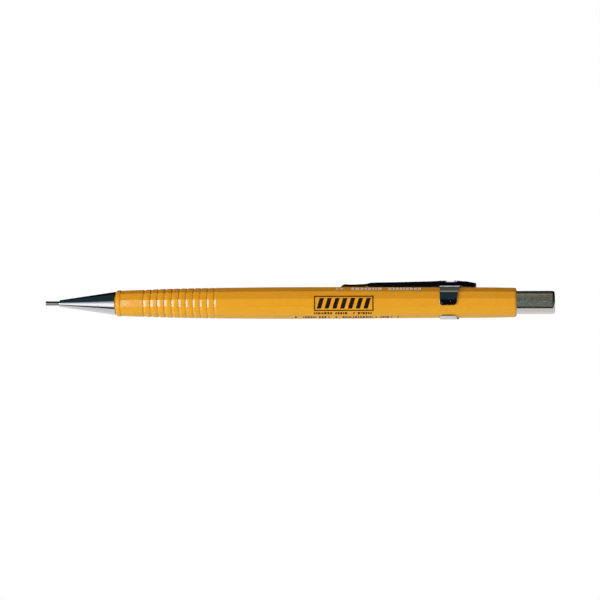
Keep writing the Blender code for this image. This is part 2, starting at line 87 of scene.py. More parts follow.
# (place along the pencil, distance from the axis to a flat)
BARREL_FLATS = [(-50.55, 3.58), (-47.5, 3.705), (-44.3, 3.80), (-38.7, 4.02), (-32.7, 4.17),
                (-22.5, 4.32), (-2.7, 4.465), (12.9, 4.465), (28.5, 4.35), (38.0, 4.30),
                (51.1, 4.285), (60.7, 4.15)]
FLATS_START = BARREL_FLATS[0][0]
COLLAR_RADIUS = 3.69
COLLAR_ROUND = 0.9
COLLAR_GROOVE = 3.54
GROOVES = 11
GROOVE_FIRST = -43.98
GROOVE_PITCH = 2.0175
GROOVE_DROP = 0.22
FIRST_RAMP = 0.82
LAST_RAMP = 0.55
RAMP_GRADE = 0.3
REAR_EDGE_RADIUS = 0.65
SEAT_RADIUS = 2.70
SEAT_SHOULDER = -44.9
BORE_RADIUS = 2.45
CAP_WELL_RADIUS = 3.40
CAP_WELL_FLOOR = 53.0
# where the facet that faces the camera lies round the axis, from x towards y
VIEWED_FACET = radians(240)
WHITE_PRINT_LOW = 4.35
WHITE_PRINT_HIGH = 5.6

# ---- Tip and feed --------------------------------------------------------------------
CONE_TIP_RADIUS = 0.935
CONE_RING = -56.95
SPIGOT_RADIUS = 2.62
RING_STOP = -56.65
BUSH_REAR = -60.3
BUSH_FRONT = -62.5
THREAD_PITCH = 0.75
THREAD_DEPTH = 0.14
LEAD_RADIUS = 0.45
PIPE_BORE = 0.475
SLIT = 0.25
JAWS = 3
SLIT_REAR = -44.0
TAPER_REAR = -53.6
SPRING_WIRE = 0.17
SPRING_TURNS = 9

# ---- Pocket clip ---------------------------------------------------------------------
SHEET = 0.38
SHEET_EDGE = 0.035
EAR_INSIDE = EAR_OUTSIDE - SHEET
EAR_END_ANGLE = 159.0
EAR_FRONT = 39.66
EAR_REAR = 45.89
EAR_FRONT_SLANT = 0.02
EAR_REAR_SLANT = 0.16
EAR_FRONT_CORNER = 0.6
EAR_REAR_CORNER = 0.9
EAR_ROOT = 0.45
EAR_FOLD = 1.5
EAR_FIRST_FOLD = 0.9
BAND_WIDTH = 3.18
# (place, half width of the arm, height of its back over the axis, height of its lower edge)
ARM = [(CLIP_FRONT, 1.65, 5.75, 4.95), (12.05, 2.02, 6.75, 5.2), (12.8, 2.25, 7.30, 5.5),
       (14.2, 2.14, 7.24, 5.6), (18.7, 2.32, 7.27, 5.6), (20.4, 2.64, 7.44, 4.00),
       (28.5, 2.80, 7.44, 3.92), (34.1, 2.94, 7.44, 3.88), (37.6, 3.00, 7.52, 3.84),
       (39.0, 3.08, 7.58, 3.80), (40.4, BAND_WIDTH, CLIP_TOP, 3.80), (44.6, BAND_WIDTH, CLIP_TOP, 3.80),
       (45.9, 3.08, 7.56, 3.82), (47.2, 3.00, 7.42, 3.84), (48.6, 2.90, 7.06, 3.88),
       (49.5, 2.86, 6.84, 3.95), (CLIP_REAR, 2.72, 6.35, 4.20)]
ARM_BEND = 0.16
WALL_LEAN = 0.10
HUMP_LEAN = 0.17
HUMP_HALF_LENGTH = 4.2


# ---- Node trees ----------------------------------------------------------------------
class Graph:
    """A short way to write down a node tree."""

    def __init__(self, tree):
        self.tree = tree

    def node(self, kind, inputs=None, **settings):
        made = self.tree.nodes.new(kind)
        for key, value in settings.items():
            setattr(made, key, value)
        for key, value in (inputs or {}).items():
            if isinstance(value, bpy.types.NodeSocket):
                self.tree.links.new(value, made.inputs[key])
            else:
                made.inputs[key].default_value = value
        return made

    def math(self, operation, *values):
        return self.node("ShaderNodeMath", dict(enumerate(values)), operation=operation).outputs[0]

    def times(self, first, second):
        return self.math("MULTIPLY", first, second)

    def smooth_step(self, value, low, high):
        step = {"Value": value, "From Min": low, "From Max": high}
        return self.node("ShaderNodeMapRange", step, interpolation_type="SMOOTHSTEP").outputs[0]

    def spread(self, value, low, high):
        """A 0 to 1 value stretched between two numbers."""
        return self.node("ShaderNodeMapRange", {"Value": value, "To Min": low, "To Max": high}).outputs[0]

    def ramp(self, value, stops):
        """A colour for each (place, colour) stop, with straight changes between them."""
        made = self.node("ShaderNodeValToRGB", {"Fac": value})
        elements = made.color_ramp.elements
        while len(elements) < len(stops):
            elements.new(1.0)
        for element, (place, colour) in zip(elements, stops):
            element.position = place
            element.color = (*colour, 1.0)
        return made.outputs[0]

    def mix(self, share, first, second):
        """A mix of two colours. The node's colour sockets have no names of their own, only places."""
        inputs = {0: share, 6: first, 7: second}
        return self.node("ShaderNodeMix", inputs, data_type="RGBA").outputs[2]

    def noise(self, along, across, detail=3.0):
        """Noise whose marks are so many mm long along the pencil and so many across it."""
        place = self.node("ShaderNodeTexCoord").outputs["Object"]
        scale = (1 / across / MM, 1 / across / MM, 1 / along / MM)
        spot = self.node("ShaderNodeMapping", {"Vector": place, "Scale": scale}).outputs[0]
        inputs = {"Vector": spot, "Scale": 1.0, "Detail": detail}
        return self.node("ShaderNodeTexNoise", inputs).outputs["Fac"]


class Finish(Graph):
    """A material: uniform numbers sit on the shader, and patterns are linked to it."""

    def __init__(self, name, colour, roughness, metallic=0.0):
        self.material = bpy.data.materials.new(name)
        self.material.use_nodes = True
        super().__init__(self.material.node_tree)
        self.shader = self.tree.nodes["Principled BSDF"]
        self.set("Base Color", (*colour, 1.0))
        self.set("Roughness", roughness)
        self.set("Metallic", metallic)

    def set(self, key, value):
        self.shader.inputs[key].default_value = value

    def colours(self, pattern, dark, light, low=0.3, high=0.7):
        colour = self.ramp(pattern, [(low, dark), (high, light)])
        self.tree.links.new(colour, self.shader.inputs["Base Color"])

    def roughness(self, pattern, low, high):
        self.tree.links.new(self.spread(pattern, low, high), self.shader.inputs["Roughness"])

    def bump(self, pattern, depth, strength=1.0):
        """Bumps so many mm deep. A second call adds to the first."""
        normal = self.shader.inputs["Normal"]
        inputs = {"Height": pattern, "Distance": depth * MM, "Strength": strength}
        if normal.links:
            inputs["Normal"] = normal.links[0].from_socket
        self.tree.links.new(self.node("ShaderNodeBump", inputs).outputs[0], normal)


# ---- Materials -----------------------------------------------------------------------
def golden_plastic():
    """Glossy moulded plastic, a little cloudy, with a very fine ripple in its gloss."""
    made = Finish("golden_plastic", (0.775, 0.414, 0.021), 0.1)
    made.set("Specular IOR Level", 0.5)
    made.set("Subsurface Weight", 0.1)
    made.set("Subsurface Radius", (1.0, 0.15, 0.03))
    made.set("Subsurface Scale", 0.9 * MM)
    made.colours(made.noise(3.0, 3.0), (0.765, 0.407, 0.02), (0.785, 0.421, 0.022))
    made.roughness(made.noise(0.6, 0.6), 0.085, 0.11)
    made.bump(made.noise(1.6, 0.8, 1.0), 0.0005, 0.5)
    return made.material


def chrome(name, colour, roughness):
    """Plated metal with faint turning marks round it."""
    made = Finish(name, colour, roughness, 1.0)
    rings = made.noise(0.09, 40.0, 4.0)
    shade = tuple(0.93 * c for c in colour)
    made.colours(rings, shade, colour)
    made.roughness(made.noise(0.8, 0.8), roughness * 0.7, roughness * 1.3)
    made.bump(rings, 0.0006, 0.5)
    return made.material


def pressed_chrome():
    """Plated sheet: a mirror with a slight waviness and a few small dents."""
    made = Finish("clip_chrome", (0.86, 0.87, 0.88), 0.03, 1.0)
    made.colours(made.noise(1.2, 1.2), (0.80, 0.81, 0.82), (0.88, 0.89, 0.90))
    made.roughness(made.noise(0.5, 0.5), 0.02, 0.04)
    made.bump(made.noise(1.5, 1.1, 1.0), 0.003, 0.5)
    made.bump(made.smooth_step(made.noise(0.45, 0.3, 1.0), 0.72, 0.78), 0.01)
    return made.material


def satin_steel(name):
    """Plated metal with a fine frosted mottle, which is part mirror and part matt."""
    made = Finish(name, (0.9, 0.88, 0.84), 0.09, 1.0)
    mottle = made.noise(0.42, 0.32, 3.0)
    made.colours(mottle, (0.78, 0.80, 0.77), (0.98, 0.95, 0.87), 0.38, 0.62)
    made.roughness(made.smooth_step(mottle, 0.42, 0.62), 0.06, 0.22)
    return made.material


def drawn_steel(name, colour=(0.62, 0.61, 0.58)):
    """Drawn tube or wire, with fine lines along it."""
    made = Finish(name, colour, 0.07, 1.0)
    lines = made.noise(6.0, 0.3, 2.0)
    made.colours(lines, tuple(0.85 * c for c in colour), colour)
    made.roughness(lines, 0.05, 0.09)
    return made.material


def turned_brass(name):
    made = Finish(name, (0.78, 0.55, 0.23), 0.24, 1.0)
    rings = made.noise(0.07, 30.0, 4.0)
    made.colours(rings, (0.68, 0.46, 0.18), (0.80, 0.58, 0.26))
    made.roughness(made.noise(0.5, 0.5), 0.18, 0.32)
    made.bump(rings, 0.003, 0.6)
    return made.material


def black_rubber():
    made = Finish("black_rubber", (0.03, 0.03, 0.03), 0.7)
    grain = made.noise(0.12, 0.12)
    made.colours(grain, (0.022, 0.022, 0.022), (0.04, 0.04, 0.04))
    made.bump(grain, 0.01)
    return made.material


def white_plastic():
    made = Finish("white_plastic", (0.8, 0.8, 0.78), 0.4)
    made.set("Subsurface Weight", 0.3)
    made.set("Subsurface Radius", (1.0, 0.9, 0.8))
    made.set("Subsurface Scale", 0.8 * MM)
    made.colours(made.noise(1.5, 1.5), (0.78, 0.78, 0.75), (0.82, 0.82, 0.80))
    made.roughness(made.noise(0.4, 0.4), 0.34, 0.46)
    return made.material


def smoky_plastic():
    """Extruded tube that shows the leads in it."""
    made = Finish("smoky_plastic", (0.6, 0.62, 0.62), 0.2)
    made.set("Alpha", 0.5)
    made.colours(made.noise(8.0, 0.5), (0.56, 0.58, 0.58), (0.63, 0.65, 0.65))
    made.roughness(made.noise(1.0, 1.0), 0.14, 0.26)
    return made.material


def eraser_rubber():
    """White vinyl with a chalky grain."""
    made = Finish("eraser_rubber", (0.85, 0.84, 0.8), 0.8)
    grain = made.noise(0.15, 0.15, 5.0)
    made.colours(made.noise(1.0, 1.0), (0.82, 0.81, 0.77), (0.87, 0.86, 0.83))
    made.roughness(grain, 0.7, 0.9)
    made.bump(grain, 0.012)
    return made.material


def graphite():
    made = Finish("graphite", (0.04, 0.04, 0.045), 0.45, 0.3)
    lines = made.noise(3.0, 0.06)
    made.colours(lines, (0.03, 0.03, 0.034), (0.055, 0.055, 0.06))
    made.roughness(lines, 0.35, 0.55)
    return made.material


def ink(name, dark, light):
    """Screen-printed ink, thinner in places."""
    made = Finish(name, light, 0.14)
    made.set("Specular IOR Level", 0.4)
    made.colours(made.noise(0.5, 0.5), dark, light)
    made.roughness(made.noise(0.3, 0.3), 0.11, 0.18)
    return made.material


def white_ink(name):
    return ink(name, (0.82, 0.90, 0.62), (0.90, 0.96, 0.70))


# ---- Meshes --------------------------------------------------------------------------
def rounded(corners, steps=6):
    """A path through (a, b) or (a, b, radius) corners, with an arc at each that has a radius."""
    path = []
    for i, corner in enumerate(corners):
        if len(corner) == 2:
            path.append(tuple(corner))
            continue
        here = Vector(corner[:2])
        into = (Vector(corners[i - 1][:2]) - here).normalized()
        out = (Vector(corners[i + 1][:2]) - here).normalized()
        half = into.angle(out) / 2
        radius = corner[2]
        centre = here + (into + out).normalized() * (radius / sin(half))
        start = here + into * (radius / tan(half)) - centre
        end = here + out * (radius / tan(half)) - centre
        first = atan2(start.y, start.x)
        turn = (atan2(end.y, end.x) - first + pi) % (2 * pi) - pi
        for k in range(steps + 1):
            angle = first + turn * k / steps
            path.append((centre.x + radius * cos(angle), centre.y + radius * sin(angle)))
    return path


def smooth(stations, z, column=1):
    """A smooth curve through stations of (z, value, ...), with no bumps between them."""
    last = len(stations) - 2
    i = next((k for k in range(last) if z <= stations[k + 1][0]), last)

    def grade(k):
        return ((stations[k + 1][column] - stations[k][column])
                / (stations[k + 1][0] - stations[k][0]))

    def slope(k):
        if k in (0, last + 1):
            return grade(min(k, last))
        left, right = grade(k - 1), grade(k)
        return 0.0 if left * right <= 0 else 2 * left * right / (left + right)

    start, end = stations[i], stations[i + 1]
    width = end[0] - start[0]
    t = min(max((z - start[0]) / width, 0.0), 1.0)
    value = start[column] * (2 * t ** 3 - 3 * t ** 2 + 1) + end[column] * (3 * t ** 2 - 2 * t ** 3)
    return (value + slope(i) * width * (t ** 3 - 2 * t ** 2 + t)
            + slope(i + 1) * width * (t ** 3 - t ** 2))


def steps_between(low, high, size):
    """Evenly spaced numbers from low to high, no further apart than size."""
    count = max(1, ceil((high - low) / size - TINY))
    return [low + (high - low) * k / count for k in range(count + 1)]


def ring(form, points, z):
    """New verts at (x, y) points, all at the same place along the pencil."""
    return [form.verts.new((x * MM, y * MM, z * MM)) for x, y in points]


def circle(radius, sides):
    angles = [2 * pi * k / sides for k in range(sides)]
    return [(radius * cos(angle), radius * sin(angle)) for angle in angles]


def bridge(form, first, second, closed=True):
    """Faces between two rings of verts; a ring of one vert is a point."""
    if len(first) == 1:
        first, second = second, first
    count = len(first)
    for k in range(count if closed else count - 1):
        a, b = first[k], first[(k + 1) % count]
        if len(second) == 1:
            form.faces.new((a, b, second[0]))
        else:
            form.faces.new((a, b, second[(k + 1) % count], second[k]))


def braced(outline):
    """The outline with points just inside the ends of its long sides, so that they shade as flat."""
    gap = 0.07
    path = [outline[0]]
    for (az, ar), (bz, br) in zip(outline, outline[1:]):
        length = hypot(bz - az, br - ar)
        if length > 4 * gap:
            for share in (gap / length, 1 - gap / length):
                path.append((az + (bz - az) * share, ar + (br - ar) * share))
        path.append((bz, br))
    return path


def bridge_all(form, rings, closed=True):
    """Faces from each ring to the next."""
    for first, second in zip(rings, rings[1:]):
        bridge(form, first, second, closed)


def turn(form, outline, sides, closed=False):
    """Turns an outline of (z, radius) points about the pencil's axis."""
    rings = [ring(form, circle(r, sides) if r > 0 else [(0, 0)], z) for z, r in braced(outline)]
    bridge_all(form, rings + rings[:1] if closed else rings)


def to_mesh(form, name):
    mesh = bpy.data.meshes.new(name)
    form.to_mesh(mesh)
    form.free()
    return mesh


def finish_mesh(form, name, sharp=35.0):
    """The form as a smooth mesh, with crisp edges where it turns by more than sharp degrees."""
    bmesh.ops.recalc_face_normals(form, faces=form.faces)
    mesh = to_mesh(form, name)
    mesh.polygons.foreach_set("use_smooth", [True] * len(mesh.polygons))
    mesh.set_sharp_from_angle(angle=radians(sharp))
    return mesh


def add_object(name, data):
    made = bpy.data.objects.new(name, data)
    bpy.context.scene.collection.objects.link(made)
    return made


def modify(piece, name, kind, **settings):
    made = piece.modifiers.new(name, kind)
    for key, value in settings.items():
        setattr(made, key, value)


def show(mesh, body, node, material):
    """Puts a mesh on the pencil's axis, on a CAD body, in place of a CAD node unless that is None."""
    piece = add_object(mesh.name, mesh)
    piece.matrix_world = AXIS
    mesh.materials.append(material)
    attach(piece, body)
    if node:
        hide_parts(node)
    return piece


def turned_piece(name, outline, body, node, material, sides, closed=True):
    form = bmesh.new()
    turn(form, outline, sides, closed)
    return show(finish_mesh(form, name), body, node, material)


# ---- Barrel --------------------------------------------------------------------------
def facet_ring(flat, corner_radius):
    """A twelve-sided ring with rounded corners; a corner radius as large as flat makes it round."""
    reach = (flat - corner_radius) / cos(FACET_TURN / 2)
    corner_steps = 4
    points = []
    for k in range(FACETS):
        middle = (k + 0.5) * FACET_TURN
        for j in range(corner_steps + 1):
            angle = (k + j / corner_steps) * FACET_TURN
            points.append((reach * cos(middle) + corner_radius * cos(angle),
                           reach * sin(middle) + corner_radius * sin(angle)))
    return points


def ramp_length(index):
    """How long the ramp behind a groove is: they get shorter towards the cap."""
    return FIRST_RAMP + (LAST_RAMP - FIRST_RAMP) * index / (GROOVES - 1)


def groove_depth(z):
    """How far the grip's grooves cut in: a steep front wall, then a ramp up towards the cap."""
    nearest = round((z - GROOVE_FIRST - GROOVE_DROP) / GROOVE_PITCH)
    if not 0 <= nearest < GROOVES:
        return 0.0
    ramp = ramp_length(nearest)
    behind = z - GROOVE_FIRST - nearest * GROOVE_PITCH
    if behind < 0:
        share = max(0.0, 1 + behind / GROOVE_DROP)
        return ramp * RAMP_GRADE * share * share * (3 - 2 * share)
    return RAMP_GRADE * max(0.0, ramp - behind)


def flat_at(z):
    """How far the barrel's flats lie from the axis, grooves and all."""
    return smooth(BARREL_FLATS, z) - groove_depth(z)


def barrel_places():
    """Where the barrel's rings lie: close together in the grooves, far apart where it is plain."""
    grip_end = GROOVE_FIRST + (GROOVES - 1) * GROOVE_PITCH
    places = steps_between(FLATS_START + 0.15, GROOVE_FIRST - GROOVE_DROP - 0.1, 0.9)
    for i in range(GROOVES):
        bottom = GROOVE_FIRST + i * GROOVE_PITCH
        ramp = ramp_length(i)
        places += steps_between(bottom - GROOVE_DROP, bottom, GROOVE_DROP / 6)
        places += steps_between(bottom + 0.05, bottom + ramp, 0.12) + [bottom + ramp + 0.06]
    places += steps_between(grip_end + GROOVE_PITCH / 2, BARREL_REAR - REAR_EDGE_RADIUS, 2.0)
    return places


def build_barrel():
    form = bmesh.new()
    rings = []
    collar = rounded([(BARREL_FRONT, SEAT_RADIUS + 0.05), (BARREL_FRONT, COLLAR_RADIUS, COLLAR_ROUND),
                      (FLATS_START - 0.1, COLLAR_RADIUS, 0.12), (FLATS_START, COLLAR_GROOVE),
                      (FLATS_START + 0.04, COLLAR_GROOVE - 0.01)], 8)
    for z, r in collar:
        rings.append(ring(form, facet_ring(r, r), z))
    for z in barrel_places():
        rings.append(ring(form, facet_ring(flat_at(z), CORNER_RADIUS), z))
    edge, edge_steps = REAR_EDGE_RADIUS, 7
    rear_flat = flat_at(BARREL_REAR - edge)
    for k in range(1, edge_steps + 1):
        angle = pi / 2 * k / edge_steps
        inward = edge * (1 - cos(angle))
        z = BARREL_REAR - edge + edge * sin(angle)
        rings.append(ring(form, facet_ring(rear_flat - inward, CORNER_RADIUS + inward), z))
    inside = [(BARREL_REAR, CAP_WELL_RADIUS + 0.08), (BARREL_REAR - 0.12, CAP_WELL_RADIUS),
              (CAP_WELL_FLOOR, CAP_WELL_RADIUS), (CAP_WELL_FLOOR - 1, BORE_RADIUS),
              (SEAT_SHOULDER, BORE_RADIUS), (SEAT_SHOULDER, SEAT_RADIUS), (BARREL_FRONT + 0.1, SEAT_RADIUS)]
    for z, r in inside:
        rings.append(ring(form, facet_ring(r, r), z))
    bridge_all(form, rings + rings[:1])
    material = golden_plastic()
    barrel = show(finish_mesh(form, "barrel_moulding", 40), "barrel", "barrel", material)
    modify(barrel, "flat_facets", "WEIGHTED_NORMAL", keep_sharp=True)


# ---- Print on the barrel -------------------------------------------------------------
def skin(z, across, lift):
    """A point on the barrel, so far up round it from the middle of the facet that faces the camera."""
    flat, radius = smooth(BARREL_FLATS, z), CORNER_RADIUS
    half = (flat - radius) * tan(FACET_TURN / 2)
    facet = 2 * half + radius * FACET_TURN
    count = round(across / facet)
    rest = across - count * facet
    angle = VIEWED_FACET - count * FACET_TURN
    side = max(-half, min(half, rest))
    tilt = angle - (rest - side) / radius
    x = (flat - radius) * cos(angle) + side * sin(angle) + (radius + lift) * cos(tilt)
    y = (flat - radius) * sin(angle) - side * cos(angle) + (radius + lift) * sin(tilt)
    return x, y


def print_patch(form, z0, z1, low, high, lean=0.0):
    """A patch of ink on the barrel, from z0 to z1 along it and from low to high across it."""
    ink_height, sunk = 0.012, 0.01
    step_across, step_along = 0.12, 1.5
    acrosses = steps_between(low, high, step_across)
    places = steps_between(z0, z1, step_along)

    def layer(lift):
        rows = []
        for a in acrosses:
            slanted = [z + lean * (a - low) for z in places]
            spots = [(*skin(z, a, lift), z) for z in slanted]
            rows.append([form.verts.new([c * MM for c in spot]) for spot in spots])
        return rows

    top, bottom = layer(ink_height), layer(-sunk)
    for rows in (top, bottom):
        bridge_all(form, rows, closed=False)
    bridge(form, top[0], bottom[0], closed=False)
    bridge(form, top[-1], bottom[-1], closed=False)
    for k in (0, -1):
        bridge(form, [row[k] for row in top], [row[k] for row in bottom], closed=False)


def print_marks(form, z0, z1, low, high, seed, mark=0.42, gap=0.24):
    """A line of plain marks, like small print seen from afar."""
    random.seed(seed)
    filled = 0.86
    z = z0
    while z < z1:
        wide = mark * random.uniform(0.5, 1.5)
        if random.random() < filled:
            print_patch(form, z, min(z + wide, z1), low, high)
        z += wide + gap


def print_frame(form, z0, z1, low, high, line):
    """Four lines round a panel."""
    print_patch(form, z0, z1, high - line, high)
    print_patch(form, z0, z1, low, low + line)
    print_patch(form, z0, z0 + line, low + line, high - line)
    print_patch(form, z1 - line, z1, low + line, high - line)


def build_print():
    """A plain printed panel with bars, and lines of marks: no lettering but the lead size."""
    panel_start, panel_end, panel_low, panel_high = 4.45, 21.25, -2.4, 2.15
    line, margin = 0.36, 0.75
    bars, bar_share, lean = 7, 0.55, 0.3
    bar_low, bar_high = panel_low + margin, panel_high - margin
    slant = lean * (bar_high - bar_low)
    pitch = (panel_end - panel_start - 2 * margin - slant) / (bars - 1 + bar_share)
    dark = bmesh.new()
    for i in range(bars):
        start = panel_start + margin + i * pitch
        print_patch(dark, start, start + pitch * bar_share, bar_low, bar_high, lean)
    print_marks(dark, -1.0, 28.2, -5.5, -4.6, seed=5)
    show(finish_mesh(dark, "print_bars"), "barrel", None,
         ink("dark_ink", (0.010, 0.005, 0.004), (0.022, 0.010, 0.007)))
    red = bmesh.new()
    print_frame(red, panel_start, panel_end, panel_low, panel_high, line)
    print_marks(red, panel_start, panel_end, -3.5, -2.8, seed=3)
    show(finish_mesh(red, "print_frame"), "barrel", None,
         ink("brown_ink", (0.055, 0.008, 0.004), (0.09, 0.016, 0.006)))
    white = bmesh.new()
    print_marks(white, 14.9, 35.3, WHITE_PRINT_LOW, WHITE_PRINT_HIGH, seed=11, mark=0.8, gap=0.35)
    show(finish_mesh(white, "print_white"), "barrel", None, white_ink("white_ink"))
    build_size_mark()


def build_size_mark():
    """The lead size, 0.9, printed in front of the white line on the top facet."""
    start, letter_size, ink_height = 10.5, 1.75, 0.01
    words = bpy.data.curves.new("size_mark", "FONT")
    words.body = "0.9"
    words.size = letter_size
    words.extrude = ink_height
    text = add_object("size_mark_text", words)
    bpy.context.view_layer.update()
    graph = bpy.context.evaluated_depsgraph_get()
    mesh = bpy.data.meshes.new_from_object(text.evaluated_get(graph))
    bpy.data.objects.remove(text)
    for v in mesh.vertices:
        z = start + v.co.x
        x, y = skin(z, WHITE_PRINT_LOW + v.co.y, v.co.z)
        v.co = (x * MM, y * MM, z * MM)
    mesh.name = "print_size"
    mesh.materials.clear()
    show(mesh, "barrel", None, white_ink("size_ink"))


# ---- Tip -----------------------------------------------------------------------------
def build_nose_cone():
    """The cone with its turned ring, the spigot behind it, and the chambers inside."""
    rear = BARREL_FRONT - 0.05
    ring_edge, ring_depth = 0.06, 0.05
    core = SPIGOT_RADIUS - THREAD_DEPTH
    thread_front, thread_rear, fade_length = rear + 0.8, SPIGOT_REAR - 0.5, 0.4
    spigot_lip, ring_room, jaw_room, bush_room, lead_way = 2.4, 2.32, 1.62, 1.35, 0.56
    hole, pipe_seat = PIPE_RADIUS + 0.02, PIPE_REAR + 0.1

    def on_cone(z, inward=0.0):
        share = (z - CONE_FRONT) / (rear - CONE_FRONT)
        return z, CONE_TIP_RADIUS + (CONE_RADIUS - CONE_TIP_RADIUS) * share - inward

    outline = rounded([
        (CONE_FRONT + 0.3, hole), (CONE_FRONT, hole), (CONE_FRONT, CONE_TIP_RADIUS, 0.08),
        on_cone(CONE_RING - ring_edge), (*on_cone(CONE_RING, ring_depth), 0.02),
        on_cone(CONE_RING + ring_edge), on_cone(rear - 0.12), (rear, CONE_RADIUS - 0.1),
        (rear, core), (thread_front, core)], 4)
    outline += [(z, core) for z in steps_between(thread_front, thread_rear, THREAD_PITCH / 10)[1:]]
    outline += rounded([
        (SPIGOT_REAR - 0.15, core), (SPIGOT_REAR, spigot_lip), (SPIGOT_REAR, ring_room),
        (RING_STOP, ring_room), (RING_STOP, jaw_room), (BUSH_REAR, jaw_room), (BUSH_REAR, bush_room),
        (BUSH_FRONT, bush_room), (BUSH_FRONT, lead_way), (pipe_seat, lead_way), (pipe_seat, hole)])
    form = bmesh.new()
    turn(form, outline, 96, True)
    for v in form.verts:
        z, r = v.co.z / MM, hypot(v.co.x, v.co.y) / MM
        if thread_front < z < thread_rear and r > spigot_lip:
            phase = (z / THREAD_PITCH - atan2(v.co.y, v.co.x) / (2 * pi)) % 1
            fade = min(1.0, (z - thread_front) / fade_length, (thread_rear - z) / fade_length)
            taller = 1 + THREAD_DEPTH * fade * (1 - abs(2 * phase - 1)) / r
            v.co.x *= taller
            v.co.y *= taller
    plating = chrome("chrome", (0.93, 0.94, 0.95), 0.055)
    show(finish_mesh(form, "tip_cone"), "tip", "nose_cone", plating)


def build_lead_pipe():
    lip = 0.07
    outline = rounded([(PIPE_REAR, PIPE_RADIUS), (TIP_END, PIPE_RADIUS, lip), (TIP_END, PIPE_BORE, 0.04),
                       (PIPE_REAR, PIPE_BORE)])
    turned_piece("tip_pipe", outline, "tip", "lead_pipe", drawn_steel("pipe_steel"), 48)


def build_lead_retainer():
    front, rear, outer = extent("lead_retainer")
    bore, funnel, funnel_length = PIPE_BORE, 0.25, 0.5
    outline = rounded([
        (rear, outer - 0.3), (rear, outer, 0.12), (front, outer, 0.12), (front, bore + funnel),
        (front + funnel_length, bore, 0.3), (rear - funnel_length, bore, 0.3), (rear, bore + funnel)])
    turned_piece("retainer_bush", outline, "tip_carrier", "lead_retainer",
                 black_rubber(), 48)


# ---- Lead feed -----------------------------------------------------------------------
def jaw(form, outline, index):
    """One of the chuck's jaws: the outline swept between two slits with parallel sides."""
    steps = 14
    columns = []
    for k in range(steps + 1):
        column = []
        for z, r in outline:
            edge = asin(SLIT / 2 / r)
            angle = index * 2 * pi / JAWS + edge + (2 * pi / JAWS - 2 * edge) * k / steps
            column.append(form.verts.new((r * cos(angle) * MM, r * sin(angle) * MM, z * MM)))
        columns.append(column)
    bridge_all(form, columns)
    form.faces.new(columns[0])
    form.faces.new(columns[-1])


def build_chuck():
    front, rear, head = extent("chuck")
    neck, stem, bore = 1.12, 1.0, 0.5
    form = bmesh.new()
    outline = rounded([(SLIT_REAR, bore), (front, bore), (front, head - 0.2), (front + 0.2, head, 0.08),
                       (TAPER_REAR, neck, 0.4), (TAPER_REAR + 0.4, stem, 0.3), (SLIT_REAR, stem)], 4)
    for i in range(JAWS):
        jaw(form, outline, i)
    outline = rounded([(SLIT_REAR, bore), (SLIT_REAR, stem), (rear, stem, 0.12), (rear, bore)], 4)
    turn(form, outline, 42, True)
    show(finish_mesh(form, "chuck_jaws"), "push_rod", "chuck", turned_brass("chuck_brass"))


def build_clutch_ring():
    """The ring whose taper closes the chuck's jaws."""
    front, rear, outer = extent("clutch_ring")
    mouth, throat = 1.5, 1.17
    outline = rounded([(rear, throat + 0.13), (rear, outer, 0.15), (front, outer, 0.15), (front, mouth),
                       (front + 0.1, mouth - 0.03), (TAPER_REAR, throat), (rear, throat)], 4)
    turned_piece("clutch_collar", outline, "clutch", "clutch_ring",
                 turned_brass("ring_brass"), 64)


def build_clutch_sleeve():
    """The flanged sleeve behind the ring, where the ring stops and the spring starts."""
    front, rear, flange = extent("clutch_sleeve")
    tube, bore = 2.25, 1.35
    shelf = SPIGOT_REAR + 0.05
    outline = rounded([(rear, bore + 0.15), (rear, flange, 0.1), (shelf, flange, 0.1), (shelf, tube),
                       (front, tube, 0.12), (front, bore, 0.1), (rear, bore)], 4)
    turned_piece("clutch_tube", outline, "barrel", "clutch_sleeve",
                 turned_brass("sleeve_brass"), 64)


def build_return_spring():
    """A coil with a closed turn at each end, built at the CAD node's length; the real spring flattens as
    the button goes down.
    """
    low, high, outer = extent("return_spring")
    radius = outer - SPRING_WIRE
    start, end = low + SPRING_WIRE, high - SPRING_WIRE
    closed_pitch = 2.2 * SPRING_WIRE
    open_pitch = (end - start - 2 * closed_pitch) / (SPRING_TURNS - 2)
    steps, sides = 36, 10
    form = bmesh.new()
    rings = []
    for k in range(SPRING_TURNS * steps + 1):
        turns = k / steps
        inner = min(max(turns - 1, 0), SPRING_TURNS - 2)
        z = start + closed_pitch * (turns - inner) + open_pitch * inner
        angle = 2 * pi * turns
        wire = []
        for x, y in circle(SPRING_WIRE, sides):
            r = radius + x
            wire.append(form.verts.new((r * cos(angle) * MM, r * sin(angle) * MM, (z + y) * MM)))
        rings.append(wire)
    bridge_all(form, rings)
    form.faces.new(rings[0])
    form.faces.new(rings[-1])
    spring = show(finish_mesh(form, "spring_coil", 60), "push_rod", "return_spring",
                  drawn_steel("spring_steel", (0.6, 0.6, 0.6)))
    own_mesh(spring)


def build_connector():
    front, rear, flange = extent("chuck_connector")
    plug, tube, socket, lead_way = 1.84, 1.45, 1.02, 0.55
    flange_front, flange_rear, socket_floor = -33.0, -31.6, -36.9
    outline = rounded([
        (rear, plug - 0.3), (rear, plug, 0.2), (flange_rear, plug), (flange_rear, flange, 0.1),
        (flange_front, flange, 0.1), (flange_front, tube, 0.15), (front, tube, 0.15), (front, socket),
        (socket_floor, socket), (socket_floor, lead_way), (flange_front, lead_way)], 4)
    turned_piece("connector_moulding", outline, "push_rod", "chuck_connector",
                 white_plastic(), 64)


def build_reservoir():
    front, rear, outer = extent("lead_reservoir")
    bore = 1.88
    outline = rounded([
        (rear - 20, bore), (rear, bore, 0.06), (rear, outer, 0.08), (rear - 30, outer),
        (front + 30, outer), (front, outer, 0.08), (front, bore, 0.06), (front + 20, bore)], 4)
    turned_piece("reservoir_tube", outline, "push_rod", "lead_reservoir",
                 smoky_plastic(), 64)


